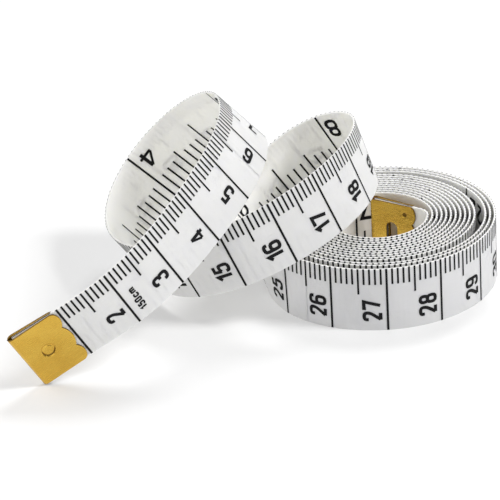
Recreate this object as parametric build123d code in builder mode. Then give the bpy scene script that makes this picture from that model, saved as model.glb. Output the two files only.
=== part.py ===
from build123d import *
import os
from math import acos, atan2, cos, degrees, dist, hypot, radians, sin

os.makedirs("parts", exist_ok=True)

# A soft measuring tape, half rolled up: a flat coil stands on its edge on the table, its outer end
# climbs out in two leaning curls, and a folded brass tip closes each end of the tape.
# Millimetres and degrees. The coil's axis is Z through the origin and the table is z = 0.
# A place along the tape is its mark: the distance from the outer end of the front tip's fold.

# Tape
TAPE_LENGTH = 1500.0
TAPE_WIDTH = 12.0
TAPE_THICK = 0.35

# Coil, wound from the outside in, from half-turn arcs that meet on the X axis
JOIN_MARK = 255.0        # where the curls come down into the coil
JOIN_ANGLE = -127.0      # the same place round the coil's axis
REACH_RIGHT = 21.8       # outer turn, from the axis to where it crosses X on each side
REACH_LEFT = 20.8
EYE_RADIUS = 9.12        # inner turn; the pitch winds the tape down to it
LEAD_SLACK = 1.3         # room on the left for the leaning curl to come down beside the coil
SLACK_TURN = 3           # the outer turns have sprung away to the right after this one
SLACK = 1.1

# Inner end, which bends away from the eye's wall and stands free in the eye
TAIL_BEND_RADIUS = 2.7
TAIL_LENGTH = 10.5       # straight stretch
TAIL_CLEARANCE = 1.3     # from the inner turn to the tape's end

# Free tape: marks in printed centimetres, with the bend and the twist there in degrees per centimetre
CENTIMETRE = 10.0
FREE_BENDS = (
    (0, 0, 0),
    (1, 0, 0),
    (2, 20.5, -5),
    (4, 7.5, -4.5),
    (6, 26, -4),
    (8, 28.5, -0.5),
    (10, 41.5, -4),
    (12, 29.5, -6.5),
    (14, 23, -6.5),
    (16, 26, -2),
    (18, 22, 4.5),
    (19, 33.5, 2.5),
    (20, 54, -20.5),
    (21, 43, -5),
    (22, 33, 9.5),
    (23, 41, -11),
    (24, 13.5, -22),
    (25.5, 27, 0),
)
WALK_STEP = 0.5          # step of the walk along the free tape
SECTION_STEP = 2.5       # spacing of the sections that the free tape is drawn through
FRONT_HINGE_MARK = 40.0  # the front end lifts from here

# End tips, each one sheet folded over the tape's end
TIP_LENGTH = 9.6
TIP_SHEET = 0.35
FOLD_RADIUS = 0.55       # inside the fold, which stays a little open
LEAF_FIT = 0.02          # leaf to tape at the lobes
TIP_INSET = 0.9          # the tape stops short of the fold
LOBE_SHARE = 0.2         # half width of the middle lobe, as a share of the width
LOBE_DEPTH = 0.7
STAKE_PLACE = 4.6        # from the fold
STAKE_DIAMETER = 2.8
STAKE_MIDDLE = 1.8       # raised middle of the stake
STAKE_DEPTH = 0.15
SLOT_LENGTH = 4.4        # hanging slot of the tail tip, across the tape
SLOT_WIDTH = 2.3
SLOT_PLACE = 4.7
SLOT_FIT = 0.15
PIT_DIAMETER = 1.5
PIT_PLACE = 7.4
PIT_SPREAD = 8.4


def turned(vector, axis, angle):
    """A vector turned about a unit axis by an angle in degrees."""
    c = cos(radians(angle))
    s = sin(radians(angle))
    return vector * c + axis.cross(vector) * s + axis * (axis.dot(vector) * (1 - c))


def bend_at(mark):
    """Bend and twist in degrees per mm at a mark of the free tape."""
    for low, high in zip(FREE_BENDS, FREE_BENDS[1:]):
        if mark <= high[0] * CENTIMETRE:
            share = (mark / CENTIMETRE - low[0]) / (high[0] - low[0])
            bend = low[1] + (high[1] - low[1]) * share
            twist = low[2] + (high[2] - low[2]) * share
            return bend / CENTIMETRE, twist / CENTIMETRE
    return FREE_BENDS[-1][1] / CENTIMETRE, 0.0


def walk_free_tape():
    """Centre, direction and width direction of the free tape at every step, from mark 0 on."""
    radius = (REACH_RIGHT + REACH_LEFT) / 2
    angle = radians(JOIN_ANGLE)
    centre = Vector((REACH_RIGHT - REACH_LEFT) / 2 + radius * cos(angle), radius * sin(angle), TAPE_WIDTH / 2)
    along = Vector(-sin(angle), cos(angle), 0)
    across = Vector(0, 0, 1)
    steps = round(JOIN_MARK / WALK_STEP)
    walk = [(centre, along, across)]
    for step in range(steps, 0, -1):
        bend, twist = bend_at((step - 0.5) * WALK_STEP)
        turn = across * bend + along * twist
        axis = turn.normalized() if turn.length > 0 else across
        middle = turned(along, axis, -turn.length * WALK_STEP / 2)
        centre = centre - middle * WALK_STEP
        across = turned(across, axis, -turn.length * WALK_STEP)
        along = turned(along, axis, -turn.length * WALK_STEP)
        walk.append((centre, along, across))
    walk.reverse()
    return walk


def tail_turn():
    """Angle of the bend that leaves the tape's end at its clearance inside the inner turn."""
    centre = EYE_RADIUS - TAIL_BEND_RADIUS
    end = EYE_RADIUS - TAIL_CLEARANCE
    reach = hypot(TAIL_BEND_RADIUS, TAIL_LENGTH)
    share = (end**2 - centre**2 - reach**2) / (2 * centre * reach)
    return degrees(acos(share) - atan2(TAIL_LENGTH, TAIL_BEND_RADIUS))


def coil_arcs(pitch):
    """Arcs of the coil from the outside in: centre on X, radius, start angle and sweep of each."""
    right = REACH_RIGHT
    left = REACH_LEFT
    length = TAPE_LENGTH - JOIN_MARK - TAIL_LENGTH - radians(tail_bend) * TAIL_BEND_RADIUS
    start = JOIN_ANGLE
    half = 0
    arcs = []
    while True:
        turn = (half + 1) // 2
        if half % 2 == 1:
            left -= pitch + (LEAD_SLACK if turn == 1 else 0)
        elif half > 0:
            right -= pitch + (SLACK if turn == SLACK_TURN else 0)
        radius = (right + left) / 2
        sweep = min(180.0 * half - start, length / radians(1) / radius)
        arcs.append(((right - left) / 2, radius, start, sweep))
        start += sweep
        if start < 180.0 * half:
            return arcs
        length -= radians(sweep) * radius
        half += 1


def coil_pitch():
    """The pitch that winds the tape down to the eye, by halving."""
    low = 0.0
    high = EYE_RADIUS
    for halving in range(40):
        pitch = (low + high) / 2
        inner = coil_arcs(pitch)[-1][1]
        low, high = (pitch, high) if inner > EYE_RADIUS else (low, pitch)
    return low


def polar(centre, radius, angle):
    """A point at a radius and an angle from a centre in the table's plane."""
    return Vector(centre.X + radius * cos(radians(angle)), centre.Y + radius * sin(radians(angle)), 0)


WALK = walk_free_tape()
tail_bend = tail_turn()
pitch = coil_pitch()
ARCS = coil_arcs(pitch)
last_x, last_radius, last_start, last_sweep = ARCS[-1]
coil_end_angle = last_start + last_sweep
coil_end = polar(Vector(last_x, 0, 0), last_radius, coil_end_angle)
tail_centre = coil_end - polar(Vector(0, 0, 0), TAIL_BEND_RADIUS, coil_end_angle)
tail_angle = coil_end_angle + tail_bend
tail_start = polar(tail_centre, TAIL_BEND_RADIUS, tail_angle)
tail_along = polar(Vector(0, 0, 0), 1, tail_angle + 90)
tail_out = polar(Vector(0, 0, 0), 1, tail_angle)


def free_plane(mark):
    """Plane across the free tape: its X runs from the plain edge to the ticked edge."""
    centre, along, across = WALK[round(mark / WALK_STEP)]
    return Plane(origin=centre, x_dir=across, z_dir=along)


def tape_section(mark):
    """The tape's section at a mark."""
    with BuildSketch(free_plane(mark)) as section:
        Rectangle(TAPE_WIDTH, TAPE_THICK)
    return section.sketch


def tape_sections(first, last):
    """Sections of the tape from one mark to another, evenly spaced."""
    count = round((last - first) / SECTION_STEP)
    return [tape_section(first + (last - first) * step / count) for step in range(count + 1)]


def leaf_height(place):
    """Height of a leaf's inner face over the tape's middle, at a place from the fold."""
    fold = FOLD_RADIUS + TIP_SHEET
    lobe = TAPE_THICK / 2 + LEAF_FIT
    return lobe + (FOLD_RADIUS - lobe) * (TIP_LENGTH - place) / (TIP_LENGTH - fold)


def wedge_section(face, radius, length, half):
    """A wedge seen from the tape's edge, round at the fold; face lies in the tape, with X from the fold."""
    with BuildSketch(Plane(origin=face.origin, x_dir=face.x_dir, z_dir=face.y_dir)) as section:
        with BuildLine():
            CenterArc((FOLD_RADIUS + TIP_SHEET, 0), radius, 0, 360)
            Line((length, half), (length, -half))
        make_hull()
    return section.sketch


def lobe_radius(half):
    """Radius of a lobe's arc, from half its width and its depth."""
    return (half**2 + LOBE_DEPTH**2) / (2 * LOBE_DEPTH)


def lobed_outline(face):
    """The tip's outline seen on its face, with three shallow lobes at the edge away from the fold."""
    middle = TAPE_WIDTH * LOBE_SHARE
    corner = (TAPE_WIDTH / 2 - middle) / 2
    body = TIP_LENGTH - LOBE_DEPTH
    with BuildSketch(face) as outline:
        with Locations((body / 2, 0)):
            Rectangle(body, TAPE_WIDTH)
        with Locations((TIP_LENGTH - lobe_radius(middle), 0)):
            Circle(lobe_radius(middle))
        for side in (1, -1):
            with Locations((TIP_LENGTH - lobe_radius(corner), side * (middle + corner))):
                Circle(lobe_radius(corner))
    return outline.sketch


def fold_sheet(face):
    """A sheet folded over the tape's end, a wedge outside and inside."""
    lobe = TAPE_THICK / 2 + LEAF_FIT
    outer = wedge_section(face, FOLD_RADIUS + TIP_SHEET, TIP_LENGTH, lobe + TIP_SHEET)
    inner = wedge_section(face, FOLD_RADIUS, TIP_LENGTH + TIP_SHEET, lobe)
    extrude(outer, amount=TAPE_WIDTH / 2, both=True)
    extrude(inner, amount=TAPE_WIDTH, both=True, mode=Mode.SUBTRACT)
    extrude(lobed_outline(face), amount=TIP_LENGTH, both=True, mode=Mode.INTERSECT)


def press_stake(face, place, offset, diameter, middle):
    """A round stake: both leaves are pressed down on the tape, with a raised middle or none."""
    height = leaf_height(place)
    seat = TAPE_THICK / 2
    rise = height + TIP_SHEET / 2 - seat
    for sign in (1, -1):
        with Locations(face.location * Location((place, offset, sign * (seat + rise / 2)))):
            Cylinder(diameter / 2, rise)
        ring = height + TIP_SHEET - STAKE_DEPTH
        with BuildSketch(face.offset(sign * ring)) as groove:
            with Locations((place, offset)):
                Circle(diameter / 2)
                if middle > 0:
                    Circle(middle / 2, mode=Mode.SUBTRACT)
        extrude(groove.sketch, amount=sign * TIP_SHEET, mode=Mode.SUBTRACT)


def face_plane(end, along, out):
    """Plane in the tape at one of its ends: X from the fold into the tape, Z out of its outer face."""
    return Plane(origin=end, x_dir=along, z_dir=out)


# Coil
with BuildPart() as tape_coil:
    with BuildSketch(Plane.XY):
        with BuildLine():
            for side in (TAPE_THICK / 2, -TAPE_THICK / 2):
                for arc_x, arc_radius, arc_start, arc_sweep in ARCS:
                    CenterArc((arc_x, 0), arc_radius + side, arc_start, arc_sweep)
                CenterArc((tail_centre.X, tail_centre.Y), TAIL_BEND_RADIUS + side, coil_end_angle, tail_bend)
            join_centre = Vector(ARCS[0][0], 0, 0)
            Line(
                polar(join_centre, ARCS[0][1] + TAPE_THICK / 2, JOIN_ANGLE),
                polar(join_centre, ARCS[0][1] - TAPE_THICK / 2, JOIN_ANGLE),
            )
            Line(
                polar(tail_centre, TAIL_BEND_RADIUS + TAPE_THICK / 2, tail_angle),
                polar(tail_centre, TAIL_BEND_RADIUS - TAPE_THICK / 2, tail_angle),
            )
        make_face()
    extrude(amount=TAPE_WIDTH)
tape_coil.part.label = "tape_coil"
export_step(tape_coil.part, "parts/tape_coil.step")

# Two curls
with BuildPart() as tape_curls:
    loft(tape_sections(FRONT_HINGE_MARK, JOIN_MARK), ruled=True)
tape_curls.part.label = "tape_curls"
export_step(tape_curls.part, "parts/tape_curls.step")

# Front run, straight where the tip holds it
straight = FREE_BENDS[1][0] * CENTIMETRE
with BuildPart() as tape_front_run:
    extrude(tape_section(straight), amount=-(straight - TIP_INSET))
    loft(tape_sections(straight, FRONT_HINGE_MARK), ruled=True)
tape_front_run.part.label = "tape_front_run"
export_step(tape_front_run.part, "parts/tape_front_run.step")

# Front tip
front_end, front_along, front_across = WALK[0]
front_face = face_plane(front_end, front_along, front_along.cross(front_across))
with BuildPart() as front_tip:
    fold_sheet(front_face)
    press_stake(front_face, STAKE_PLACE, 0, STAKE_DIAMETER, STAKE_MIDDLE)
front_tip.part.label = "front_tip"
export_step(front_tip.part, "parts/front_tip.step")

# Inner end of the tape, with a slot for hanging it up
tail_middle = Vector(0, 0, TAPE_WIDTH / 2)
tail_end = tail_start + tail_along * TAIL_LENGTH + tail_middle
tail_face = face_plane(tail_end, -tail_along, tail_out)
with BuildPart() as tape_tail_end:
    with BuildSketch(tail_face):
        with Locations(((TIP_INSET + TAIL_LENGTH) / 2, 0)):
            Rectangle(TAIL_LENGTH - TIP_INSET, TAPE_WIDTH)
        with Locations((SLOT_PLACE, 0)):
            Rectangle(SLOT_WIDTH + SLOT_FIT * 2, SLOT_LENGTH + SLOT_FIT * 2, mode=Mode.SUBTRACT)
    extrude(amount=TAPE_THICK / 2, both=True)
tape_tail_end.part.label = "tape_tail_end"
export_step(tape_tail_end.part, "parts/tape_tail_end.step")

# Tail tip
with BuildPart() as tail_tip:
    fold_sheet(tail_face)
    for pit_side in (-PIT_SPREAD / 2, PIT_SPREAD / 2):
        press_stake(tail_face, PIT_PLACE, pit_side, PIT_DIAMETER, 0)
    with BuildSketch(tail_face):
        with Locations((SLOT_PLACE, 0)):
            SlotOverall(SLOT_LENGTH, SLOT_WIDTH, rotation=90)
    extrude(amount=TIP_LENGTH, both=True, mode=Mode.SUBTRACT)
tail_tip.part.label = "tail_tip"
export_step(tail_tip.part, "parts/tail_tip.step")


def free_points():
    """Marks and points of the free tape, in rows across its width."""
    points = []
    for step in range(0, len(WALK), 3):
        centre, along, across = WALK[step]
        for share in (-0.5, -0.25, 0, 0.25, 0.5):
            points.append((step * WALK_STEP, tuple(centre + across * (TAPE_WIDTH * share))))
    return points


def coil_points():
    """Marks and points of the coil in plan, about a millimetre apart."""
    points = []
    mark = JOIN_MARK
    for arc_x, arc_radius, arc_start, arc_sweep in ARCS:
        length = radians(arc_sweep) * arc_radius
        count = max(1, round(length))
        for step in range(1, count + 1):
            spot = polar(Vector(arc_x, 0, 0), arc_radius, arc_start + arc_sweep * step / count)
            points.append((mark + length * step / count, (spot.X, spot.Y)))
        mark += length
    return points


def over_coil(point, spot):
    """Distance from a point to the coil's wall, which stands from the table to the tape's width."""
    over = max(point[2] - TAPE_WIDTH, -point[2], 0)
    return dist((point[0], point[1], over), (spot[0], spot[1], 0))


def least_distance(first, second, measure):
    """Least distance between points of the tape that are well apart along it."""
    return min(
        measure(point, other)
        for mark, point in first
        for other_mark, other in second
        if other_mark - mark > GAP_REACH
    )


# Least gap of the tape to itself, from its middle surface
GAP_REACH = 25.0
free = free_points()
coil = coil_points()
gap_coil = least_distance(coil, coil, dist) - TAPE_THICK
gap_free = least_distance(free, free, dist) - TAPE_THICK
gap_over = least_distance(free, coil, over_coil) - TAPE_THICK
print("least gap of the tape to itself, mm:")
print("in the coil", round(gap_coil, 3), "in the curls", round(gap_free, 3), "between them", round(gap_over, 3))
print("pitch", round(pitch, 4), "tail bend", round(tail_bend, 2), "inner turn", round(last_radius, 3))
print("turns in the coil", round((coil_end_angle - JOIN_ANGLE) / 360, 2), "eye ends at", round(coil_end_angle % 360, 1))
hinge_centre, hinge_along, hinge_across = WALK[round(FRONT_HINGE_MARK / WALK_STEP)]
print("front hinge", tuple(hinge_centre), tuple(hinge_along), tuple(hinge_across))
print("tail hinge", tuple(tail_start), tuple(tail_along), tuple(tail_end))
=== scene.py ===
"""A soft sewing tape, half rolled up: its printed ribbon and the folded brass tip on each end.

The ribbon, its print and the tips are drawn flat, as they are made, and then bent along the tape's route.
Sizes are in millimetres and degrees until a point is placed, and a place along the tape is its mark:
the distance from the outer end of the front tip's fold.
"""

import logging
import math
from dataclasses import dataclass, field
from enum import Enum
from typing import Sequence

import bmesh
import bpy
from bmesh.types import BMesh, BMFace, BMVert
from bpy.types import Material, Node, NodeSocket, NodeTree, Object
from mathutils import Euler, Matrix, Vector


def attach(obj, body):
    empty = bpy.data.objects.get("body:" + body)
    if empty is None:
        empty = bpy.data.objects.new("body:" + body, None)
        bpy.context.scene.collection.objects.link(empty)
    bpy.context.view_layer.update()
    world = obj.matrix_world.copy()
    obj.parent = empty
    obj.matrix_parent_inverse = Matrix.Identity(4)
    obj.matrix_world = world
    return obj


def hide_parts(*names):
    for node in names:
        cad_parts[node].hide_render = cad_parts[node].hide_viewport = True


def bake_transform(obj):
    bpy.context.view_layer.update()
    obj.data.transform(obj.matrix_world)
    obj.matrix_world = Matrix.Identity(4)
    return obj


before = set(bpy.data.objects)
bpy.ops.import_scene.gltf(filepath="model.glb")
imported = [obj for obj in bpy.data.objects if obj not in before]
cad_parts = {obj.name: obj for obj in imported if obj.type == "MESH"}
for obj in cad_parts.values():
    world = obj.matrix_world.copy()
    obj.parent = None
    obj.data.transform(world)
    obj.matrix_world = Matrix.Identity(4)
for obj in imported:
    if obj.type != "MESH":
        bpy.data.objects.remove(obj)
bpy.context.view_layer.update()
LOG = logging.getLogger("tape")
MM = 0.001
MM_PER_CM = 10
# The UV map that holds each point's place on the flat tape, in centimetres
FLAT_UV = "flat"
# A face of a flat sheet is one of its two broad ones if more than this share of its normal is upright
FACING = 0.5
# A step may be longer than it's asked to be by this share
STEP_SLACK = 1e-6
# Points of the print that are closer than this, in millimetres, are one point
SAME_POINT = 1e-4
# Where a rounded corner of the print has its points, as shares of its curve
CORNER_SHARES = (0, 1 / 3, 2 / 3, 1)

# Centre, direction and width direction of the tape
Place = tuple[Vector, Vector, Vector]
# Centre on X, radius, start angle, sweep and first mark of a stretch of the coil
Arc = tuple[float, float, float, float, float]
# First and last value of a range
Span = tuple[float, float]


class Body(Enum):
    """The moving bodies of the tape."""

    COIL = "coil"
    FRONT = "front_end"
    TAIL = "tail_end"


class Face(Enum):
    """The tape's two printed faces, with the side of the tape that each is on."""

    CENTIMETRES = 1
    INCHES = -1


class Reading(Enum):
    """Which way words are read on the flat print: directions of their X and their top, as mark and lane."""

    ACROSS = ((0, 1), (-1, 0))
    ALONG = ((1, 0), (0, 1))


class Cloth(Enum):
    """The ribbon's material slots."""

    OUTER = 0
    INNER = 1
    EDGE = 2
    # Cut edges inside the tips, painted dark: painted shade for the gap between the brass leaves
    SOILED = 3


class Brass(Enum):
    """A tip's material slots."""

    SHEET = 0
    # Darker brass: painted shade on the cut edges and in the deepest part of each stake
    CUT = 1


def srgb(code: str) -> tuple[float, float, float, float]:
    """Turns a hex colour into linear light.

    Args:
        code: Six hex digits.

    Returns:
        Red, green, blue and full opacity.
    """
    parts = [int(code[i : i + 2], 16) / 255 for i in (0, 2, 4)]
    linear = [p / 12.92 if p <= 0.04045 else ((p + 0.055) / 1.055) ** 2.4 for p in parts]
    return (linear[0], linear[1], linear[2], 1.0)


def feed(tree: NodeTree, node: Node, inputs: dict) -> None:
    """Sets a node's inputs.

    Args:
        tree: The material's node tree.
        node: The node.
        inputs: Input name or number to a value, or to the output socket that feeds it.
    """
    for name, value in inputs.items():
        if isinstance(value, NodeSocket):
            tree.links.new(value, node.inputs[name])
        else:
            node.inputs[name].default_value = value


def add_node(tree: NodeTree, kind: str, inputs: dict | None = None, **settings: object) -> Node:
    """Adds a node with its settings, values and links.

    Args:
        tree: The material's node tree.
        kind: The node's type name, without its prefix.
        inputs: Input name or number to a value, or to the output socket that feeds it.
        settings: Attributes of the node.

    Returns:
        The new node.
    """
    node = tree.nodes.new("ShaderNode" + kind)
    for name, value in settings.items():
        setattr(node, name, value)
    feed(tree, node, inputs or {})
    return node


def new_material(name: str) -> tuple[Material, NodeTree, Node]:
    """Makes a plain material.

    Args:
        name: Its name.

    Returns:
        The material, its node tree and its shader.
    """
    made = bpy.data.materials.new(name)
    made.use_nodes = True
    return made, made.node_tree, made.node_tree.nodes["Principled BSDF"]


@dataclass
class TapePath:
    """The tape's route: a coil on its edge, two leaning curls, and a straight stretch at each end."""

    length: float = 1500.0
    width: float = 12.0
    thickness: float = 0.35
    join_mark: float = 255.0
    join_angle: float = -127.0
    reach_right: float = 21.8
    reach_left: float = 20.8
    eye_radius: float = 9.12
    # Extra room on the left inside the outermost turn, and on the right outside one looser turn
    lead_slack: float = 1.3
    slack_turn: int = 3
    slack: float = 1.1
    tail_bend_radius: float = 2.7
    tail_length: float = 10.5
    tail_clearance: float = 1.3
    step: float = 0.5
    most_half_turns: int = 100
    pitch_halvings: int = 40
    # Room between each tip's fold and the tape's cut end
    fold_room: float = 0.9
    front_run_last: float = 55.5
    coil_last: float = 1485.5
    # Printed centimetre, with the bend and the twist there in degrees per centimetre
    bends: tuple[tuple[float, float, float], ...] = (
        (0, 0, 0),
        (1, 0, 0),
        (2, 20.5, -5),
        (4, 7.5, -4.5),
        (6, 26, -4),
        (8, 28.5, -0.5),
        (10, 41.5, -4),
        (12, 29.5, -6.5),
        (14, 23, -6.5),
        (16, 26, -2),
        (18, 22, 4.5),
        (19, 33.5, 2.5),
        (20, 54, -20.5),
        (21, 43, -5),
        (22, 33, 9.5),
        (23, 41, -11),
        (24, 13.5, -22),
        (25.5, 27, 0),
    )
    known: dict[float, Place] = field(default_factory=dict)

    def __post_init__(self) -> None:
        """Works the route out once."""
        self.tail_bend = self.tail_turn()
        self.walk = self.walk_free_tape()
        self.arcs = self.wind(self.pitch())
        centre_x, radius, start, sweep, _ = self.arcs[-1]
        self.eye_angle = start + sweep
        self.eye_end = self.polar(Vector((centre_x, 0, 0)), radius, self.eye_angle)
        self.tail_centre = self.eye_end - self.polar(Vector((0, 0, 0)), self.tail_bend_radius, self.eye_angle)
        self.tail_mark = self.length - self.tail_length
        self.eye_mark = self.tail_mark - math.radians(self.tail_bend) * self.tail_bend_radius

    @staticmethod
    def polar(centre: Vector, radius: float, angle: float) -> Vector:
        """A point at a radius and an angle from a centre, in the table's plane."""
        return centre + Vector((math.cos(math.radians(angle)), math.sin(math.radians(angle)), 0)) * radius

    def tail_turn(self) -> float:
        """Finds the bend that leaves the tape's end at its clearance inside the inner turn.

        Returns:
            The bend's angle.
        """
        centre = self.eye_radius - self.tail_bend_radius
        end = self.eye_radius - self.tail_clearance
        reach = math.hypot(self.tail_bend_radius, self.tail_length)
        share = (end**2 - centre**2 - reach**2) / (2 * centre * reach)
        return math.degrees(math.acos(share) - math.atan2(self.tail_length, self.tail_bend_radius))

    def bend_at(self, mark: float) -> tuple[float, float]:
        """Bend and twist at a mark of the free tape.

        Args:
            mark: Distance along the tape.

        Returns:
            Bend and twist, in radians per millimetre.
        """
        low, high = self.bends[-2:]
        for low, high in zip(self.bends, self.bends[1:]):
            if mark <= high[0] * MM_PER_CM:
                break
        share = (mark / MM_PER_CM - low[0]) / (high[0] - low[0])
        return tuple(math.radians(low[i] + (high[i] - low[i]) * share) / MM_PER_CM for i in (1, 2))

    def walk_free_tape(self) -> list[Place]:
        """Walks the free tape back from the coil.

        Returns:
            Centre, direction and width direction at every step, from mark 0 on.
        """
        radius = (self.reach_right + self.reach_left) / 2
        centre_x = (self.reach_right - self.reach_left) / 2
        centre = self.polar(Vector((centre_x, 0, self.width / 2)), radius, self.join_angle)
        along = self.polar(Vector((0, 0, 0)), 1, self.join_angle + 90)
        across = Vector((0, 0, 1))
        places = [(centre, along, across)]
        for step in range(round(self.join_mark / self.step), 0, -1):
            bend, twist = self.bend_at((step - 0.5) * self.step)
            turn = across * bend + along * twist
            half = Matrix.Rotation(-turn.length * self.step / 2, 3, turn if turn.length else across)
            centre = centre - (half @ along) * self.step
            along, across = half @ half @ along, half @ half @ across
            places.append((centre, along, across))
        return places[::-1]

    def wind(self, pitch: float) -> list[Arc]:
        """Winds the coil from the outside in, in half turns that meet on the X axis.

        Args:
            pitch: Distance from turn to turn.

        Returns:
            Centre on X, radius, start angle, sweep and first mark of each arc.
        """
        right, left = self.reach_right, self.reach_left
        start, mark = self.join_angle, self.join_mark
        arcs = []
        spare = self.length - self.join_mark - self.tail_length
        spare -= math.radians(self.tail_bend) * self.tail_bend_radius
        for half in range(self.most_half_turns):
            turn = (half + 1) // 2
            if half % 2 == 1:
                left -= pitch + (self.lead_slack if turn == 1 else 0)
            elif half > 0:
                right -= pitch + (self.slack if turn == self.slack_turn else 0)
            radius = (right + left) / 2
            sweep = min(180.0 * half - start, math.degrees(spare / radius))
            arcs.append(((right - left) / 2, radius, start, sweep, mark))
            start += sweep
            if start < 180.0 * half:
                break
            spare -= math.radians(sweep) * radius
            mark += math.radians(sweep) * radius
        return arcs

    def pitch(self) -> float:
        """Finds the pitch that winds the tape down to the eye, by halving.

        Returns:
            Distance from turn to turn.
        """
        low, high = 0.0, self.eye_radius
        for _ in range(self.pitch_halvings):
            middle = (low + high) / 2
            low, high = (middle, high) if self.wind(middle)[-1][1] > self.eye_radius else (low, middle)
        return low

    def place(self, mark: float) -> Place:
        """Gives the place of a mark, which is worked out once.

        Args:
            mark: Distance along the tape.

        Returns:
            Centre, direction and width direction.
        """
        key = round(mark, 5)
        if key not in self.known:
            self.known[key] = self.find_place(mark)
        return self.known[key]

    def find_place(self, mark: float) -> Place:
        """Works out the place of a mark.

        Args:
            mark: Distance along the tape.

        Returns:
            Centre, direction and width direction, from the plain edge to the ticked one.
        """
        if mark < self.join_mark:
            at = max(mark, 0.0) / self.step
            low = min(int(at), len(self.walk) - 2)
            first, second = self.walk[low], self.walk[low + 1]
            centre, along, across = (a.lerp(b, at - low) for a, b in zip(first, second))
            return centre + along * min(mark, 0.0), along.normalized(), across.normalized()
        up = Vector((0, 0, 1))
        middle = Vector((0, 0, self.width / 2))
        if mark < self.eye_mark:
            arc = next(arc for arc in reversed(self.arcs) if arc[4] <= mark)
            centre_x, radius, start, _, first_mark = arc
            angle = start + math.degrees((mark - first_mark) / radius)
            centre = self.polar(Vector((centre_x, 0, 0)), radius, angle)
            return centre + middle, self.polar(Vector((0, 0, 0)), 1, angle + 90), up
        bent = min((mark - self.eye_mark) / self.tail_bend_radius, math.radians(self.tail_bend))
        angle = self.eye_angle + math.degrees(bent)
        along = self.polar(Vector((0, 0, 0)), 1, angle + 90)
        centre = self.polar(self.tail_centre, self.tail_bend_radius, angle)
        return centre + middle + along * max(mark - self.tail_mark, 0.0), along, up

    def wrap(self, flat: Vector) -> Vector:
        """Bends a point of the flat tape, as mark, lane and height, into its place in metres."""
        centre, along, across = self.place(flat.x)
        return (centre + across * flat.y + along.cross(across) * flat.z) * MM


@dataclass(frozen=True)
class CoatedCloth:
    """Glass fibre cloth coated in soft vinyl: satin, a little see-through, with its threads showing."""

    name: str
    colour: str
    stain: str
    roughness: float = 0.42
    ior: float = 1.5
    thread_mm: float = 0.888  # real threads are nearer 0.25 mm, too fine to show
    thread_wander: float = 0.6
    thread_bump: float = 0.08
    thread_depth_mm: float = 0.05
    stain_mm: float = 7.14
    see_through: float = 0.85
    see_through_mm: float = 0.8
    see_through_tint: tuple[float, float, float] = (1.0, 1.0, 0.9)

    def material(self) -> Material:
        """Makes the cloth, whose pattern follows the tape by its UV map.

        Returns:
            The material.
        """
        made, tree, shader = new_material(self.name)
        where = add_node(tree, "UVMap", uv_map=FLAT_UV).outputs["UV"]
        # On a map in centimetres a wave of scale 1 repeats every pi millimetres
        scale = math.pi / self.thread_mm
        threads = {"Vector": where, "Scale": scale, "Distortion": self.thread_wander, "Detail": 1.0}
        warp, weft = (
            add_node(tree, "TexWave", threads, bands_direction=direction).outputs["Fac"]
            for direction in ("X", "Y")
        )
        weave = add_node(tree, "Math", {0: warp, 1: weft}, operation="ADD").outputs["Value"]
        relief = {"Height": weave, "Strength": self.thread_bump, "Distance": self.thread_depth_mm * MM}
        stains = {"Vector": where, "Scale": MM_PER_CM / self.stain_mm, "Detail": 4.0}
        cloud = add_node(tree, "TexNoise", stains).outputs["Fac"]
        colours = {"Factor": cloud, "A": srgb(self.colour), "B": srgb(self.stain)}
        inputs = {
            "Base Color": add_node(tree, "Mix", colours, data_type="RGBA").outputs["Result"],
            "Normal": add_node(tree, "Bump", relief).outputs["Normal"],
            "Roughness": self.roughness,
            "IOR": self.ior,
            # Light goes through the thin vinyl, so the print on the other face shows as a soft shade
            "Subsurface Weight": self.see_through,
            "Subsurface Radius": self.see_through_tint,
            "Subsurface Scale": self.see_through_mm * MM,
        }
        feed(tree, shader, inputs)
        return made


@dataclass(frozen=True)
class PrintingInk:
    """Black ink, screen printed on the vinyl: matt, a little uneven."""

    name: str = "black_screen_ink"
    dark: str = "0A0A0B"
    worn: str = "19191B"
    roughness: float = 0.7
    gloss: float = 0.2
    blotch_mm: float = 1.5

    def material(self) -> Material:
        """Makes the ink.

        Returns:
            The material.
        """
        made, tree, shader = new_material(self.name)
        where = add_node(tree, "TexCoord").outputs["Object"]
        blotches = {"Vector": where, "Scale": 1 / (self.blotch_mm * MM), "Detail": 3.0}
        blotch = add_node(tree, "TexNoise", blotches).outputs["Fac"]
        colours = {"Factor": blotch, "A": srgb(self.dark), "B": srgb(self.worn)}
        inputs = {
            "Base Color": add_node(tree, "Mix", colours, data_type="RGBA").outputs["Result"],
            "Roughness": self.roughness,
            "Specular IOR Level": self.gloss,
        }
        feed(tree, shader, inputs)
        return made


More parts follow.
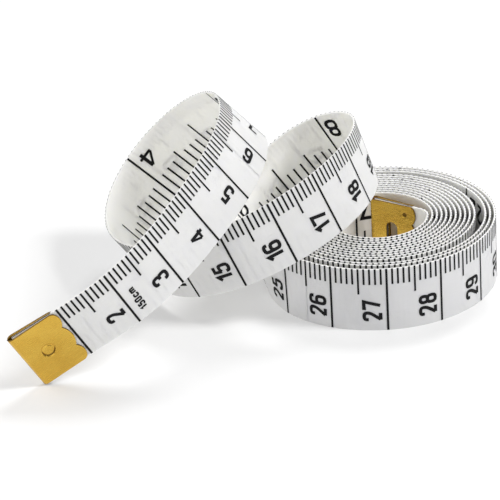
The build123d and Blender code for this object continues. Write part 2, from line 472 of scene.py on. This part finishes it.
@dataclass(frozen=True)
class RolledBrass:
    """Thin rolled brass sheet, bright, with faint rolling lines, duller in patches from handling."""

    name: str = "rolled_brass"
    bright: str = "E4C059"
    dull: str = "C89B3C"
    roughness: float = 0.26
    # How far the rolling lines take the roughness down and up
    smoother: float = 0.04
    rougher: float = 0.06
    patch_mm: float = 4.0
    line_length_mm: float = 12.0
    line_width_mm: float = 0.25
    line_bump: float = 0.02
    line_depth_mm: float = 0.02

    def material(self) -> Material:
        """Makes the brass, whose pattern follows the flat sheet by its UV map.

        Returns:
            The material.
        """
        made, tree, shader = new_material(self.name)
        where = add_node(tree, "UVMap", uv_map=FLAT_UV).outputs["UV"]
        patches = {"Vector": where, "Scale": MM_PER_CM / self.patch_mm, "Detail": 4.0}
        patch = add_node(tree, "TexNoise", patches).outputs["Fac"]
        stretch = (MM_PER_CM / self.line_length_mm, MM_PER_CM / self.line_width_mm, 1)
        rolled = add_node(tree, "Mapping", {"Vector": where, "Scale": stretch}).outputs["Vector"]
        lines = add_node(tree, "TexNoise", {"Vector": rolled, "Scale": 1.0, "Detail": 3.0}).outputs["Fac"]
        least, most = self.roughness - self.smoother, self.roughness + self.rougher
        gloss = {"Value": lines, "To Min": least, "To Max": most}
        relief = {"Height": lines, "Strength": self.line_bump, "Distance": self.line_depth_mm * MM}
        colours = {"Factor": patch, "A": srgb(self.bright), "B": srgb(self.dull)}
        inputs = {
            "Base Color": add_node(tree, "Mix", colours, data_type="RGBA").outputs["Result"],
            "Roughness": add_node(tree, "MapRange", gloss).outputs["Result"],
            "Normal": add_node(tree, "Bump", relief).outputs["Normal"],
            "Metallic": 1.0,
        }
        feed(tree, shader, inputs)
        return made


def finish_mesh(bm: BMesh, name: str, materials: Sequence[Material]) -> Object:
    """Turns a bmesh into an object at the origin.

    Args:
        bm: The finished shape, which is freed.
        name: The piece's name.
        materials: Its material slots.

    Returns:
        The new object.
    """
    mesh = bpy.data.meshes.new(name)
    bm.to_mesh(mesh)
    bm.free()
    for material in materials:
        mesh.materials.append(material)
    made = bpy.data.objects.new(name, mesh)
    bpy.context.scene.collection.objects.link(made)
    LOG.info("%s: %d faces", name, len(mesh.polygons))
    return made


def flat_grid(bm: BMesh, marks: Sequence[float], lanes: Sequence[float]) -> list[BMFace]:
    """Adds a flat grid with a row of points at each mark and each lane.

    Args:
        bm: The mesh it goes into.
        marks: X of the columns, in order.
        lanes: Y of the rows, in order.

    Returns:
        The new faces.
    """
    made = bmesh.ops.create_grid(bm, x_segments=len(marks) - 1, y_segments=len(lanes) - 1, size=1)
    for vert in made["verts"]:
        column = round((vert.co.x + 1) / 2 * (len(marks) - 1))
        row = round((vert.co.y + 1) / 2 * (len(lanes) - 1))
        vert.co = (marks[column], lanes[row], 0)
    return list({f for vert in made["verts"] for f in vert.link_faces})


def even(first: float, last: float, step: float) -> list[float]:
    """Evenly spaced values from first to last, about a step apart."""
    count = max(1, math.ceil((last - first) / step - STEP_SLACK))
    return [first + (last - first) * i / count for i in range(count + 1)]


def graded(first: float, last: float, step: float, close: Sequence[Span], fine: float) -> list[float]:
    """Values from first to last that lie closer within some ranges.

    Args:
        first: First value.
        last: Last value.
        step: Longest step between values.
        close: Ranges where the values lie closer.
        fine: Longest step within them.

    Returns:
        The values, in order.
    """
    ends = sorted({first, last, *(min(max(end, first), last) for pair in close for end in pair)})
    values = [first]
    for low, high in zip(ends, ends[1:]):
        inside = any(pair[0] <= (low + high) / 2 <= pair[1] for pair in close)
        values += even(low, high, fine if inside else step)[1:]
    return values


def thicken(bm: BMesh, thickness: float) -> None:
    """Makes a flat sheet solid, to both sides of where it lay, with its faces outwards.

    Args:
        bm: The sheet.
        thickness: How thick it becomes.
    """
    grown = bmesh.ops.extrude_face_region(bm, geom=bm.faces[:], use_keep_orig=True)
    lifted = [v for v in grown["geom"] if isinstance(v, BMVert)]
    bmesh.ops.translate(bm, verts=bm.verts[:], vec=(0, 0, -thickness / 2))
    bmesh.ops.translate(bm, verts=lifted, vec=(0, 0, thickness))
    bmesh.ops.recalc_face_normals(bm, faces=bm.faces[:])
    for face in bm.faces:
        face.normal_update()


def lay_uv(bm: BMesh) -> None:
    """Gives a flat shape its UV map.

    Args:
        bm: The shape, before it's bent.
    """
    layer = bm.loops.layers.uv.new(FLAT_UV)
    for face in bm.faces:
        for loop in face.loops:
            loop[layer].uv = (loop.vert.co.x / MM_PER_CM, loop.vert.co.y / MM_PER_CM)


@dataclass
class Stretch:
    """One stretch of the tape, with the body that it rides on, or the pair of bodies that it runs between."""

    name: str
    node: str
    first: float
    last: float
    step: float
    body: Body = Body.COIL
    moving: Body | None = None
    still_mark: float = 0.0
    moving_mark: float = 0.0

    def carry(self, piece: Object, path: TapePath) -> None:
        """Makes a piece ride on the stretch's body; a piece of a stretch between two bodies only has its
        place baked into its mesh.

        Args:
            piece: The piece.
            path: The tape's route.
        """
        if self.moving is None:
            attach(piece, self.body.value)
            return
        start, end = (path.wrap(Vector((mark, 0, 0))) for mark in (self.still_mark, self.moving_mark))
        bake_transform(piece)


@dataclass
class Ribbon:
    """The ribbon: white on the outside and cream inside, with its cut edges painted dark inside the tips, as
    painted shade between the brass leaves.
    """

    path: TapePath
    outer: Material
    inner: Material
    edge: Material
    # Dark cloth for the cut edges inside the tips: painted shade between the brass leaves
    soiled: Material
    lane_step: float = 2.0
    # How far from each end the cut edges get that painted shade
    tip_cover: float = 9.0
    # The hole behind the tail tip's slot: its middle from the tape's end, its length across and its width
    slot_place: float = 4.7
    slot_length: float = 4.7
    slot_width: float = 2.6

    def slot_at(self, spot: Vector) -> bool:
        """Whether a mark and lane of the flat tape lie in the hole behind the tail tip's slot."""
        off = spot.x - self.path.length + self.slot_place
        return abs(off) < self.slot_width / 2 and abs(spot.y) < self.slot_length / 2

    def finish_of(self, face: BMFace) -> Cloth:
        """Which material a face of the flat ribbon has.

        Args:
            face: The face.

        Returns:
            The material's slot.
        """
        if abs(face.normal.z) > FACING:
            return Cloth.OUTER if face.normal.z > 0 else Cloth.INNER
        # Cut edges inside the tips get the painted shade of the gap between the brass leaves
        mark = face.calc_center_median().x
        return Cloth.SOILED if min(mark, self.path.length - mark) < self.tip_cover else Cloth.EDGE

    def build(self, stretch: Stretch) -> Object:
        """Builds one stretch, flat, and bends it into place.

        Args:
            stretch: Which stretch.

        Returns:
            The ribbon's object.
        """
        path = self.path
        marks = even(stretch.first, stretch.last, stretch.step)
        lanes = even(-path.width / 2, path.width / 2, self.lane_step)
        slot = path.length - self.slot_place
        slotted = stretch.first < slot < stretch.last
        if slotted:
            marks = sorted({*marks, slot - self.slot_width / 2, slot + self.slot_width / 2})
            lanes = sorted({*lanes, -self.slot_length / 2, self.slot_length / 2})
        bm = bmesh.new()
        faces = flat_grid(bm, marks, lanes)
        if slotted:
            hole = [face for face in faces if self.slot_at(face.calc_center_median())]
            bmesh.ops.delete(bm, geom=hole, context="FACES")
        thicken(bm, path.thickness)
        lay_uv(bm)
        for face in bm.faces:
            finish = self.finish_of(face)
            face.material_index = finish.value
            face.smooth = finish in (Cloth.OUTER, Cloth.INNER)
        for edge in bm.edges:
            edge.smooth = len({f.material_index for f in edge.link_faces}) == 1
        for vert in bm.verts:
            vert.co = path.wrap(vert.co)
        return finish_mesh(bm, stretch.name, (self.outer, self.inner, self.edge, self.soiled))


@dataclass(frozen=True)
class Stroke:
    """One pen stroke of a sign, in a box one wide and two tall, with how round and how bold it is."""

    points: tuple[tuple[float, float], ...]
    corner: float = 0.45
    closed: bool = False
    weight: float = 1.0

    def line(self, wide: float, tall: float, step: float) -> list[Vector]:
        """Draws the stroke's middle line.

        Args:
            wide: Width of the box.
            tall: Height of the box.
            step: Longest step along the line.

        Returns:
            Its points; a closed stroke ends where it starts.
        """
        points = [Vector((x * wide, y * tall / 2)) for x, y in self.points]
        turn = self.corner * wide
        drawn = []
        for i, point in enumerate(points):
            if not turn or (not self.closed and i in (0, len(points) - 1)):
                drawn.append(point)
                continue
            back, on = points[i - 1] - point, points[(i + 1) % len(points)] - point
            start = point + back.normalized() * min(turn, back.length / 2)
            end = point + on.normalized() * min(turn, on.length / 2)
            drawn += [start.lerp(point, s).lerp(point.lerp(end, s), s) for s in CORNER_SHARES]
        if self.closed:
            drawn.append(drawn[0])
        close = drawn[:1]
        for last, point in zip(drawn, drawn[1:]):
            shares = even(0, 1, step / max((point - last).length, step))
            close += [last.lerp(point, share) for share in shares[1:]]
        return [p for i, p in enumerate(close) if i == 0 or (p - close[i - 1]).length > SAME_POINT]


STROKES = {
    "0": (Stroke(((0, 0), (1, 0), (1, 2), (0, 2)), closed=True),),
    "1": (Stroke(((0, 1.5), (0.55, 2), (0.55, 0)), 0),),
    "2": (Stroke(((0, 1.45), (0, 2), (1, 2), (1, 1.25), (0.05, 0))), Stroke(((0, 0), (1, 0)), 0)),
    "3": (
        Stroke(((0, 1.5), (0, 2), (0.95, 2), (0.95, 1.05), (0.4, 1.05))),
        Stroke(((0.4, 1.05), (1, 1.05), (1, 0), (0, 0), (0, 0.5))),
    ),
    "4": (
        Stroke(((0.8, 0), (0.8, 2)), 0),
        Stroke(((0.75, 2), (-0.05, 0.6)), 0, weight=0.7),
        Stroke(((-0.1, 0.52), (1.2, 0.52)), 0, weight=0.8),
    ),
    "5": (
        Stroke(((0.95, 2), (0.1, 2), (0.05, 1.05)), 0),
        Stroke(((0.05, 1.05), (0.4, 1.25), (1, 1.25), (1, 0), (0, 0), (0, 0.45))),
    ),
    "6": (
        Stroke(((0, 0), (1, 0), (1, 1.15), (0, 1.15)), closed=True),
        Stroke(((0, 0.6), (0, 2), (1, 2), (1, 1.55))),
    ),
    "7": (Stroke(((0, 1.75), (0, 2), (1, 2), (0.45, 0)), 0),),
    "8": (
        Stroke(((0, 0), (1, 0), (1, 1.05), (0, 1.05)), closed=True),
        Stroke(((0.05, 1.05), (0.95, 1.05), (0.95, 2), (0.05, 2)), closed=True),
    ),
    "9": (
        Stroke(((0, 0.85), (1, 0.85), (1, 2), (0, 2)), closed=True),
        Stroke(((1, 1.4), (1, 0), (0, 0), (0, 0.45))),
    ),
    "c": (Stroke(((1, 1), (1, 1.4), (0, 1.4), (0, 0), (1, 0), (1, 0.4))),),
    "m": (
        Stroke(((0, 0), (0, 1.4)), 0),
        Stroke(((0, 1), (0, 1.4), (0.8, 1.4), (0.8, 0)), 0.3),
        Stroke(((0.8, 1), (0.8, 1.4), (1.6, 1.4), (1.6, 0)), 0.3),
    ),
}


@dataclass(frozen=True)
class Lettering:
    """Condensed digits drawn with one even pen."""

    height: float
    width: float
    pen: float
    spacing: float

    def widths(self, words: str) -> list[float]:
        """Width of each sign between the middle lines of its strokes."""
        wide = self.width - self.pen
        return [max(x for stroke in STROKES[sign] for x, _ in stroke.points) * wide for sign in words]

    def length(self, words: str) -> float:
        """Length of words as drawn."""
        return sum(self.widths(words)) + self.spacing * (len(words) - 1) + self.pen * len(words)


@dataclass
class Scale:
    """The print on one face: ticks of several lengths, and a line and a number for each unit."""

    face: Face
    unit: float
    divisions: int
    # How far across the tape every so many divisions' tick reaches, the longest first
    tick_reach: dict[int, float]
    digits: Lettering
    reading: Reading
    number_reach: float
    number_gap: float
    over_edge: float = 0.0
    line_width: float = 0.4
    tick_width: float = 0.35

    def ticks(self, first: float, last: float) -> list[tuple[float, float, float]]:
        """Ticks whose middle lies in a stretch.

        Args:
            first: The stretch's first mark.
            last: Its last mark.

        Returns:
            Mark, length as a share of the width, and thickness of each.
        """
        found = []
        start = math.ceil(first / self.unit * self.divisions)
        end = int(last / self.unit * self.divisions)
        for count in range(start, end + 1):
            thick = self.tick_width if count % self.divisions else self.line_width
            share = next(reach for every, reach in self.tick_reach.items() if count % every == 0)
            found.append((count * self.unit / self.divisions, share, thick))
        return found

    def numbers(self, first: float, last: float) -> list[int]:
        """Numbers whose line lies in a stretch."""
        return list(range(math.ceil(first / self.unit), int(last / self.unit) + 1))


@dataclass
class TapePrint:
    """The ink on the tape."""

    path: TapePath
    ink: Material
    first_mark: float = 9.7
    last_mark: float = 1490.2
    lift: float = 0.03
    step: float = 0.7
    # Least cosine that widens a stroke at a corner, so that a sharp one has no spike
    mitre_limit: float = 0.6
    legend: str = "150cm"
    legend_mark: float = 22.85
    legend_shift: float = 0.2
    legend_digits: Lettering = Lettering(height=1.5, width=0.86, pen=0.33, spacing=0.17)

    def rule(self, bm: BMesh, ticks: Sequence[tuple[float, float, float]], over_edge: float) -> None:
        """Rules ticks in from the tape's edge, as one strip whose gaps are then cut out.

        Args:
            bm: The flat print.
            ticks: Mark, share of the width and thickness of each tick.
            over_edge: How far their ink has run round the edge.
        """
        half = self.path.width / 2
        faces = flat_grid(bm, range(2 * len(ticks)), (-1, 0, 1) if over_edge else (0, 1))
        gaps = [face for face in faces if round(min(v.co.x for v in face.verts)) % 2]
        bmesh.ops.delete(bm, geom=gaps, context="FACES_ONLY")
        for vert in bm.verts:
            column = round(vert.co.x)
            mark, share, thick = ticks[column // 2]
            side = 1 if column % 2 else -1
            length = share * self.path.width if vert.co.y > 0 else -self.lift if over_edge else 0
            vert.co = (mark + side * thick / 2, half - length, -over_edge if vert.co.y < 0 else 0)

    def draw(self, bm: BMesh, line: Sequence[Vector], pen: float, closed: bool, spot: Matrix) -> None:
        """Draws one stroke as a strip of even width.

        Args:
            bm: The flat print.
            line: The stroke's middle line.
            pen: Its width.
            closed: Whether it ends where it starts.
            spot: Where its box lies on the flat print.
        """
        spots = []
        for i, point in enumerate(line):
            back = line[i - 1] if i else line[-2] if closed else point
            on = line[i + 1] if i + 1 < len(line) else line[1] if closed else point
            steps = [step.normalized() for step in (point - back, on - point) if step.length]
            along = sum(steps, Vector((0, 0))).normalized()
            reach = pen / 2 / max(self.mitre_limit, abs(along.dot(steps[0])))
            spots.append((point, Vector((-along.y, along.x)) * reach))
        faces = flat_grid(bm, range(len(spots)), (-1, 1))
        for vert in {v for face in faces for v in face.verts}:
            point, side = spots[round(vert.co.x)]
            vert.co = spot @ (point + side * vert.co.y).to_3d()

    def number(self, bm: BMesh, words: str, middle: Vector, reading: Reading, style: Lettering) -> None:
        """Writes a number on the flat print.

        Args:
            bm: The flat print.
            words: The number.
            middle: Mark and lane of its middle.
            reading: Which way it's read.
            style: How it's drawn.
        """
        wide, tall = style.width - style.pen, style.height - style.pen
        (right_x, right_y), (top_x, top_y) = reading.value
        rows = ((right_x, top_x, 0, middle.x), (right_y, top_y, 0, middle.y), (0, 0, 1, 0), (0, 0, 0, 1))
        start = (style.pen - style.length(words)) / 2
        for sign, width in zip(words, style.widths(words)):
            spot = Matrix(rows) @ Matrix.Translation((start, -tall / 2, 0))
            for stroke in STROKES[sign]:
                line = stroke.line(wide, tall, self.step)
                self.draw(bm, line, style.pen * stroke.weight, stroke.closed, spot)
            start += width + style.pen + style.spacing

    def build(self, stretch: Stretch, scale: Scale) -> Object:
        """Prints one scale on one stretch.

        Args:
            stretch: Which stretch.
            scale: Which scale.

        Returns:
            The ink's object.
        """
        first, last = max(stretch.first, self.first_mark), min(stretch.last, self.last_mark)
        width, side = self.path.width, scale.face.value
        bm = bmesh.new()
        self.rule(bm, scale.ticks(first, last), scale.over_edge)
        lane = width / 2 - scale.number_reach * width
        for number in scale.numbers(first, last):
            words, style = str(number), scale.digits
            size = style.length(words) if scale.reading is Reading.ALONG else style.height
            mark = number * scale.unit - scale.number_gap - size / 2
            if mark - size / 2 > self.first_mark:
                self.number(bm, words, Vector((mark, lane)), scale.reading, style)
        if scale.face is Face.CENTIMETRES and first < self.legend_mark < last:
            spot = Vector((self.legend_mark - self.legend_digits.height / 2, lane + self.legend_shift))
            self.number(bm, self.legend, spot, scale.reading, self.legend_digits)
        for vert in bm.verts:
            height = self.path.thickness / 2 + self.lift + vert.co.z
            vert.co = self.path.wrap(Vector((vert.co.x, vert.co.y * side, height * side)))
        return finish_mesh(bm, f"{stretch.name}_{scale.face.name.lower()}", (self.ink,))


@dataclass
class FoldedTip:
    """A brass sheet folded over one end of the tape, with three lobes at the edge of each leaf."""

    name: str
    node: str
    path: TapePath
    brass: Material
    # Darker brass for the cut edges and the stakes' deepest parts: painted shade
    cut_edge: Material
    at_tail: bool
    body: Body
    length: float = 9.6
    sheet: float = 0.35
    fold_radius: float = 0.55
    leaf_fit: float = 0.02
    lobe_share: float = 0.2
    lobe_depth: float = 0.7
    # Place from the fold, offset, diameter and raised middle of each pressed stake
    stakes: tuple[tuple[float, float, float, float], ...] = ()
    # Place from the fold, length across the tape and width of the slot
    slot: tuple[float, float, float] | None = None
    press: float = 0.22
    # Share of the press beyond which the sheet is painted dark, as painted shade in the stake's hollow
    dark_share: float = 0.7
    # Which way a ring is pressed deeper, and by how much, which also sets where round the ring its painted
    # shade lies
    stake_lean: Vector = field(default_factory=lambda: Vector((-0.22, -0.97)))
    lean_share: float = 0.25
    corner_round: float = 0.5
    edge_round: float = 0.07
    # Edges that turn by more than this, in radians, are rounded
    sharp_turn: float = 1.0
    grid: float = 0.3
    fine_grid: float = 0.06
    stake_margin: float = 0.2
    slot_margin: float = 0.1

    def edge_at(self, lane: float) -> float:
        """Measures a leaf along a lane, to its lobed edge.

        Args:
            lane: Place across the tape, from its middle.

        Returns:
            The leaf's length there.
        """
        middle = self.path.width * self.lobe_share
        corner = (self.path.width / 2 - middle) / 2
        reach = abs(lane)
        half, off = (middle, reach) if reach < middle else (corner, reach - middle - corner)
        radius = (half**2 + self.lobe_depth**2) / (2 * self.lobe_depth)
        into = max(0.0, reach - self.path.width / 2 + self.corner_round)
        rounded = self.corner_round - math.sqrt(max(0.0, self.corner_round**2 - into**2))
        return self.length - radius + math.sqrt(radius**2 - off**2) - rounded

    def profile(self, run: float) -> tuple[Vector, Vector]:
        """A leaf's middle line from the fold's outer end.

        Args:
            run: Distance along the line.

        Returns:
            The point, as distance from the fold and height, and the direction outwards.
        """
        radius = self.fold_radius + self.sheet / 2
        centre = Vector((self.fold_radius + self.sheet, 0))
        foot = Vector((self.length, self.path.thickness / 2 + self.leaf_fit + self.sheet / 2))
        towards = foot - centre
        lean = math.atan2(towards.y, towards.x)
        tangent = lean + math.acos(radius / towards.length)
        arc = (math.pi - tangent) * radius
        if run < arc:
            angle = math.pi - run / radius
            out = Vector((math.cos(angle), math.sin(angle)))
            return centre + out * radius, out
        out = Vector((math.cos(tangent), math.sin(tangent)))
        return centre + out * radius + Vector((out.y, -out.x)) * (run - arc), out

    def pressed(self, place: float, lane: float) -> float:
        """Measures the stakes on a leaf: each is a ring, deeper on one side, or a plain pit.

        Args:
            place: Distance from the fold.
            lane: Place across the tape, from its middle.

        Returns:
            How deep the sheet is pressed there.
        """
        depth = 0.0
        for stake, offset, diameter, middle in self.stakes:
            from_middle = Vector((place - stake, lane - offset))
            ring = (diameter + middle) / 4 if middle else 0.0
            reach = diameter / 2 - ring
            away = min(1.0, abs(from_middle.length - ring) / reach)
            lean = from_middle.normalized().dot(self.stake_lean) if middle else 1.0
            share = 1 - self.lean_share + self.lean_share * lean
            depth = max(depth, self.press * share * (1 - away**2))
        return depth

    def cut_slot(self, bm: BMesh, place: float, length: float, width: float) -> None:
        """Cuts a slot with round ends through both leaves of the flat sheet.

        Args:
            bm: The flat sheet.
            place: The slot's middle, from the fold.
            length: Its length, across the tape.
            width: Its width.
        """
        straight = (length - width) / 2

        def from_core(point: Vector) -> tuple[Vector, Vector]:
            """The nearest point of the slot's middle line, and the way from it."""
            core = Vector((math.copysign(place, point.x), max(-straight, min(straight, point.y)), 0))
            return core, point - core

        hole = [face for face in bm.faces if from_core(face.calc_center_median())[1].length < width / 2]
        around = {vert for face in hole for vert in face.verts}
        bmesh.ops.delete(bm, geom=hole, context="FACES")
        for vert in around:
            if vert.is_valid:
                core, away = from_core(vert.co)
                vert.co = core + away.normalized() * width / 2

    def slip(self) -> float:
        """How much more sheet, measured flat, lies between the fold and a place on the leaf."""
        return self.length / 2 - self.profile(self.length / 2)[0].x

    def fine_bands(self) -> tuple[list[Span], list[Span]]:
        """Finds where the flat sheet needs a fine grid: at its stakes, its slot, its corners and its lobes.

        Returns:
            Ranges along a leaf from the fold, and ranges across it.
        """
        half, notch, slip = self.path.width / 2, self.path.width * self.lobe_share, self.slip()
        corner = half - self.corner_round
        along, across = [], [(-half, -corner), (corner, half), (-notch, -notch), (notch, notch)]
        for place, offset, diameter, _ in self.stakes:
            reach = diameter / 2 + self.stake_margin
            along.append((place + slip - reach, place + slip + reach))
            across.append((offset - reach, offset + reach))
        if self.slot:
            place, length, width = self.slot
            reach = width / 2 + self.slot_margin
            end, straight = length / 2 + self.slot_margin, length / 2 - width / 2
            along.append((place + slip - reach, place + slip + reach))
            across += [(-end, -straight), (straight, end)]
        return along, across

    def build(self) -> Object:
        """Cuts the sheet flat, folds it over the tape's end and presses its stakes.

        Returns:
            The tip's object.
        """
        half, slip = self.path.width / 2, self.slip()
        along, across = self.fine_bands()
        lanes = graded(-half, half, self.grid, across, self.fine_grid)
        runs = graded(0.0, self.length + slip, self.grid, along, self.fine_grid)
        bm = bmesh.new()
        flat_grid(bm, [-run for run in reversed(runs[1:])] + runs, lanes)
        for vert in bm.verts:
            vert.co.x *= (self.edge_at(vert.co.y) + slip) / (self.length + slip)
        if self.slot:
            place, length, width = self.slot
            self.cut_slot(bm, place + slip, length, width)
        thicken(bm, self.sheet)
        for face in bm.faces:
            broad = abs(face.normal.z) > FACING
            # Cut edges get the darker brass, painted shade
            face.material_index = Brass.SHEET.value if broad else Brass.CUT.value
        bmesh.ops.bevel(
            bm,
            geom=[edge for edge in bm.edges if edge.calc_face_angle(0) > self.sharp_turn],
            offset=self.edge_round,
            offset_type="OFFSET",
            segments=2,
            profile=0.5,
            affect="EDGES",
            material=-1,
            clamp_overlap=True,
        )
        lay_uv(bm)
        for face in bm.faces:
            face.smooth = True
            middle = face.calc_center_median()
            depth = self.pressed(self.profile(abs(middle.x))[0].x, middle.y)
            # The deepest part of each stake is painted dark: painted shade in its hollow
            if depth > self.dark_share * self.press:
                face.material_index = Brass.CUT.value
        for vert in bm.verts:
            vert.co = self.fold(vert.co)
        return finish_mesh(bm, self.name, (self.brass, self.cut_edge))

    def fold(self, flat: Vector) -> Vector:
        """Folds a point of the flat sheet over the tape's end.

        Args:
            flat: Distance from the fold's middle line, lane, and height over the sheet's middle.

        Returns:
            The point in the object's frame, in metres.
        """
        side = 1 if flat.x >= 0 else -1
        spot, out = self.profile(abs(flat.x))
        depth = self.pressed(spot.x, flat.y)
        if flat.z < 0:
            depth = min(depth, spot.y - (self.sheet + self.path.thickness) / 2 - self.leaf_fit)
        point = spot + out * (flat.z - depth)
        mark = self.path.length - point.x if self.at_tail else point.x
        return self.path.wrap(Vector((mark, flat.y, point.y * side)))


@dataclass(frozen=True)
class WhiteCard:
    """Matt white card that glows faintly, so that the table stays pale between the shadows."""

    name: str = "white_card"
    colour: str = "D0D0D0"
    roughness: float = 0.7
    glow_colour: str = "FFFFFF"
    glow: float = 0.21

    def material(self) -> Material:
        """Makes the card.

        Returns:
            The material.
        """
        made, tree, shader = new_material(self.name)
        inputs = {
            "Base Color": srgb(self.colour),
            "Roughness": self.roughness,
            "Emission Color": srgb(self.glow_colour),
            "Emission Strength": self.glow,
        }
        feed(tree, shader, inputs)
        return made


@dataclass(frozen=True)
class SoftLight:
    """A square soft light: its place and side in metres, and its power in watts."""

    name: str
    place: tuple[float, float, float]
    size: float
    power: float

    def hang(self, aim: tuple[float, float, float]) -> None:
        """Hangs the light.

        Args:
            aim: The point that it faces, in metres.
        """
        lamp = bpy.data.lights.new(self.name, "AREA")
        lamp.size = self.size
        lamp.energy = self.power
        hung = bpy.data.objects.new(self.name, lamp)
        hung.location = self.place
        hung.rotation_euler = (Vector(aim) - Vector(self.place)).to_track_quat("-Z", "Y").to_euler()
        bpy.context.scene.collection.objects.link(hung)


@dataclass
class Studio:
    """A white table under soft light, and a camera at the photograph's angle. Its places are in metres."""

    floor_reach: float = 3.0
    floor_cells: int = 8
    floor_drop: float = 0.00002
    room_colour: str = "FFFFFF"
    room_light: float = 0.32
    aim: tuple[float, float, float] = (-0.01, 0, 0.01)
    lights: tuple[SoftLight, ...] = (
        SoftLight("right", (0.48, -0.129, 0.562), size=0.18, power=3.89),
        SoftLight("left", (-0.528, 0.161, 0.431), size=0.5, power=1.55),
        SoftLight("back", (0.105, 0.366, 0.587), size=0.22, power=1.93),
        SoftLight("front", (-0.18, -0.672, 0.281), size=0.6, power=1.22),
    )
    camera_mm: tuple[float, float, float] = (-1.012, -534.490, 274.942)
    camera_turn: tuple[float, float, float] = (63.2712, 2.9561, 0.8332)
    lens_mm: float = 237.53
    sensor_mm: float = 36.0
    nearest: float = 0.01
    farthest: float = 20.0

    def build(self) -> None:
        """Builds the floor, the lights and the camera."""
        self.lay_floor(WhiteCard().material())
        for light in self.lights:
            light.hang(self.aim)
        self.light_room()
        self.set_camera()

    def lay_floor(self, card: Material) -> None:
        """Lays the table's top just under the tape.

        Args:
            card: Its material.
        """
        bm = bmesh.new()
        cells = self.floor_cells
        bmesh.ops.create_grid(bm, x_segments=cells, y_segments=cells, size=self.floor_reach)
        bmesh.ops.translate(bm, verts=bm.verts[:], vec=(0, 0, -self.floor_drop))
        floor = finish_mesh(bm, "floor", (card,))

    def light_room(self) -> None:
        """Lights the room evenly."""
        world = bpy.data.worlds.new("room")
        world.use_nodes = True
        light = {"Color": srgb(self.room_colour), "Strength": self.room_light}
        feed(world.node_tree, world.node_tree.nodes["Background"], light)
        bpy.context.scene.world = world
        bpy.context.scene.view_settings.view_transform = "Standard"

    def set_camera(self) -> None:
        """Sets the camera where the photograph was taken from."""
        camera = bpy.data.cameras.new("camera")
        camera.sensor_width = self.sensor_mm
        camera.lens = self.lens_mm
        camera.clip_start, camera.clip_end = self.nearest, self.farthest
        seen = bpy.data.objects.new("camera", camera)
        seen.location = Vector(self.camera_mm) * MM
        seen.rotation_euler = Euler([math.radians(angle) for angle in self.camera_turn])
        bpy.context.scene.collection.objects.link(seen)
        bpy.context.scene.camera = seen


def stretches(path: TapePath) -> tuple[Stretch, ...]:
    """Divides the tape where it lies or moves differently.

    Args:
        path: The tape's route.

    Returns:
        The stretches, from the front end to the tail.
    """
    return (
        Stretch(
            "front_ribbon",
            "tape_front_run",
            first=path.fold_room,
            last=path.front_run_last,
            step=0.5,
            moving=Body.FRONT,
            still_mark=47.0,
            moving_mark=27.0,
        ),
        Stretch("curls_ribbon", "tape_curls", first=path.front_run_last, last=path.join_mark, step=0.5),
        Stretch("coil_ribbon", "tape_coil", first=path.join_mark, last=path.coil_last, step=0.9),
        Stretch(
            "tail_ribbon",
            "tape_tail_end",
            first=path.coil_last,
            last=path.length - path.fold_room,
            step=0.4,
            moving=Body.TAIL,
            still_mark=1485.7,
            moving_mark=1490.3,
        ),
    )


def scales() -> tuple[Scale, ...]:
    """Sets out the print of both faces.

    Returns:
        The centimetre scale and the inch scale.
    """
    return (
        Scale(
            face=Face.CENTIMETRES,
            unit=10.0,
            divisions=10,
            tick_reach={10: 1.0, 5: 0.41, 1: 0.25},
            digits=Lettering(height=3.5, width=1.95, pen=0.62, spacing=0.27),
            reading=Reading.ACROSS,
            number_reach=0.675,
            number_gap=0.95,
            over_edge=0.1,
        ),
        Scale(
            face=Face.INCHES,
            unit=25.4,
            divisions=16,
            tick_reach={16: 1.0, 8: 0.65, 4: 0.48, 1: 0.38},
            digits=Lettering(height=3.9, width=2.8, pen=0.66, spacing=0.35),
            reading=Reading.ALONG,
            number_reach=0.73,
            number_gap=0.8,
        ),
    )


def tips(path: TapePath) -> tuple[FoldedTip, ...]:
    """Sets out the brass tips.

    Args:
        path: The tape's route.

    Returns:
        The front tip and the tail tip.
    """
    brass = RolledBrass().material()
    # Darker brass painted on the cut edges and in the stakes' hollows as painted shade
    shade_painted_brass = RolledBrass("brass_painted_shade", "8F6F33", "5C451C", roughness=0.45).material()
    return (
        FoldedTip(
            "front_brass_tip",
            "front_tip",
            path,
            brass,
            shade_painted_brass,
            at_tail=False,
            body=Body.FRONT,
            stakes=((4.6, 0, 2.8, 1.8),),
        ),
        FoldedTip(
            "tail_brass_tip",
            "tail_tip",
            path,
            brass,
            shade_painted_brass,
            at_tail=True,
            body=Body.TAIL,
            stakes=((7.4, -4.2, 1.5, 0), (7.4, 4.2, 1.5, 0)),
            slot=(4.7, 4.4, 2.3),
        ),
    )


def main() -> None:
    """Builds the tape, its print, its tips and the table."""
    logging.basicConfig(level=logging.INFO, format="%(name)s %(message)s")
    path = TapePath()
    ribbon = Ribbon(
        path,
        outer=CoatedCloth("vinyl_cloth_white", "D8D8D9", "D1D1D1").material(),
        inner=CoatedCloth("vinyl_cloth_cream", "FBFAF4", "F6F4ED").material(),
        edge=CoatedCloth("cut_cloth_edge", "F0EFEB", "DDDCD8", roughness=0.7).material(),
        # Dark cloth for the cut edges inside the tips, painted shade between the brass leaves
        soiled=CoatedCloth("shade_painted_cloth_edge", "55524C", "3A3733", roughness=0.8).material(),
    )
    prints = TapePrint(path, PrintingInk().material())
    for stretch in stretches(path):
        cloth = ribbon.build(stretch)
        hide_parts(stretch.node)
        inks = [prints.build(stretch, scale) for scale in scales()]
        for piece in (cloth, *inks):
            stretch.carry(piece, path)
    for tip in tips(path):
        sheet = tip.build()
        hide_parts(tip.node)
        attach(sheet, tip.body.value)
    Studio().build()


if __name__ == "__main__":
    main()
